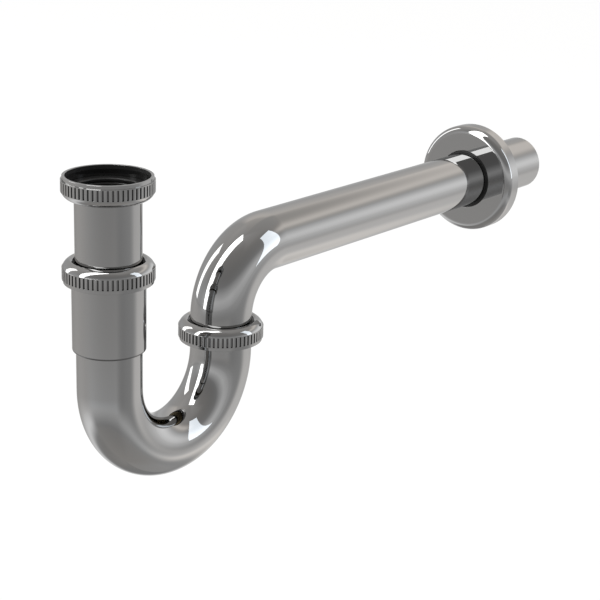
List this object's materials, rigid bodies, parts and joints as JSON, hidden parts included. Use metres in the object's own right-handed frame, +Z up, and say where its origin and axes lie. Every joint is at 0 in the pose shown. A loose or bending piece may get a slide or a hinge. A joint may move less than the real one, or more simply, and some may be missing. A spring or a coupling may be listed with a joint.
{
  "type": "u-bend trap",
  "caption": "Chromed tubular U-bend basin trap with grooved union nuts, a sliding inlet tube, a swivelling wall pipe and a wall flange.",
  "frame": {"origin": "centre of the inlet nut's open rim, where the basin's waste screws in", "axes": "+Z up along the inlet axis, +X along the outlet pipe towards the wall, +Y to the left of the outlet pipe seen from the basin"},
  "size_m": [0.3884, 0.0648, 0.1625],
  "materials": {
    "chrome": "polished chrome plate",
    "black_rubber": "smooth black rubber",
    "black_plastic": "matt black plastic",
    "brass": "machined brass"
  },
  "bodies": {
    "inlet_nut": {"inlet_nut": "chrome"},
    "inlet_gasket": {"inlet_gasket": "black_rubber"},
    "inlet_tube": {"inlet_tube": "chrome"},
    "socket_seal": {"socket_seal": "black_rubber"},
    "trap_bend": {"u_bend": "chrome", "socket_collar": "brass", "outlet_collar": "brass"},
    "socket_washer": {"socket_washer": "black_plastic"},
    "socket_nut": {"socket_nut": "chrome"},
    "outlet_gasket": {"outlet_gasket": "black_rubber"},
    "outlet_nut": {"outlet_nut": "chrome"},
    "outlet_pipe": {"outlet_pipe": "chrome"},
    "flange_grip_ring": {"flange_grip_ring": "black_rubber"},
    "wall_flange": {"wall_flange": "chrome"}
  },
  "joints": [
    {"name": "inlet_nut_slide", "type": "slide", "parent": "inlet_nut", "child": "inlet_gasket", "axis": [0, 0, 1], "range_m": [0, 0.012]},
    {"name": "inlet_nut_turn", "type": "hinge", "parent": "inlet_gasket", "child": "inlet_tube", "pos_m": [0, 0, 0], "axis": [0, 0, 1], "continuous": true},
    {"name": "height_slide", "type": "slide", "parent": "inlet_tube", "child": "socket_seal", "axis": [0, 0, 1], "range_m": [-0.02, 0.012]},
    {"name": "socket_turn", "type": "hinge", "parent": "socket_seal", "child": "trap_bend", "pos_m": [0, 0, 0], "axis": [0, 0, 1], "continuous": true},
    {"name": "socket_nut_turn", "type": "hinge", "parent": "trap_bend", "child": "socket_washer", "pos_m": [0, 0, 0], "axis": [0, 0, 1], "range_deg": [0, 720]},
    {"name": "socket_nut_travel", "type": "slide", "parent": "socket_washer", "child": "socket_nut", "axis": [0, 0, 1], "range_m": [0, 0.00462]},
    {"name": "outlet_nut_turn", "type": "hinge", "parent": "trap_bend", "child": "outlet_gasket", "pos_m": [0.0804, 0, 0], "axis": [0, 0, 1], "range_deg": [0, 720]},
    {"name": "outlet_nut_travel", "type": "slide", "parent": "outlet_gasket", "child": "outlet_nut", "axis": [0, 0, 1], "range_m": [0, 0.00462]},
    {"name": "outlet_swivel", "type": "hinge", "parent": "trap_bend", "child": "outlet_pipe", "pos_m": [0.0804, 0, 0], "axis": [0, 0, 1], "range_deg": [-120, 120]},
    {"name": "flange_slide", "type": "slide", "parent": "outlet_pipe", "child": "flange_grip_ring", "axis": [1, 0, 0], "range_m": [-0.17, 0.05]},
    {"name": "flange_turn", "type": "hinge", "parent": "flange_grip_ring", "child": "wall_flange", "pos_m": [0.3087, 0, -0.0552], "axis": [1, 0, 0], "continuous": true}
  ],
  "couplings": [
    {"joint": "socket_nut_travel", "follows": "socket_nut_turn", "m_per_rad": 0.00036749},
    {"joint": "outlet_nut_travel", "follows": "outlet_nut_turn", "m_per_rad": 0.00036749}
  ]
}
